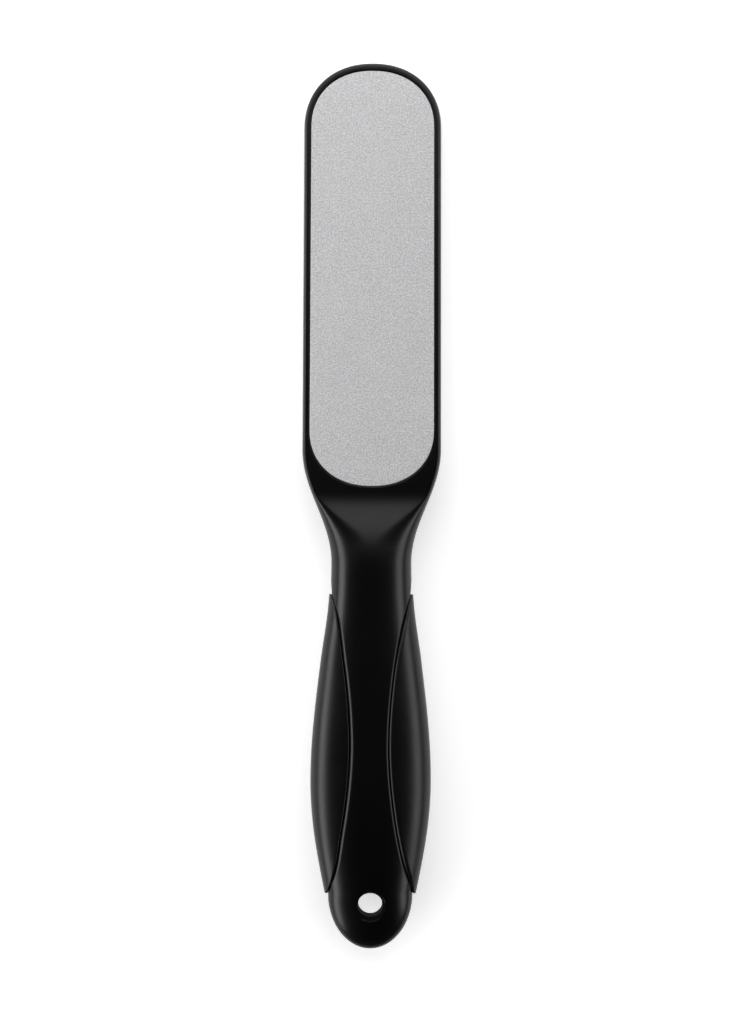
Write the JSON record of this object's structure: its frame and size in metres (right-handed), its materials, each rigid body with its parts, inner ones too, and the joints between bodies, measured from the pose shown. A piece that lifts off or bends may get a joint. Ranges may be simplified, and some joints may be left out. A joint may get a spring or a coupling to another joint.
{
  "type": "foot file",
  "caption": "Long flat paddle with a round-ended abrasive plate on each face, on an oval handle with soft side grips and a hang hole.",
  "frame": {"origin": "middle of the tool's box, on the plane where the two shells meet", "axes": "+Y along the tool towards the head's tip, +Z out of the fine plate's side, +X to the right seen from that side with the head up"},
  "size_m": [0.04, 0.255, 0.0168],
  "materials": {
    "body": "satin moulded",
    "grip": "soft matte moulded",
    "fine_plate": "fine bonded grit",
    "coarse_plate": "coarse bonded grit",
    "adhesive": "clear film"
  },
  "bodies": {
    "root": {"front_shell": "body", "rear_shell": "body", "left_grip": "grip", "right_grip": "grip", "front_plate": "fine_plate", "rear_plate": "coarse_plate", "front_adhesive": "adhesive", "rear_adhesive": "adhesive"}
  },
  "joints": []
}
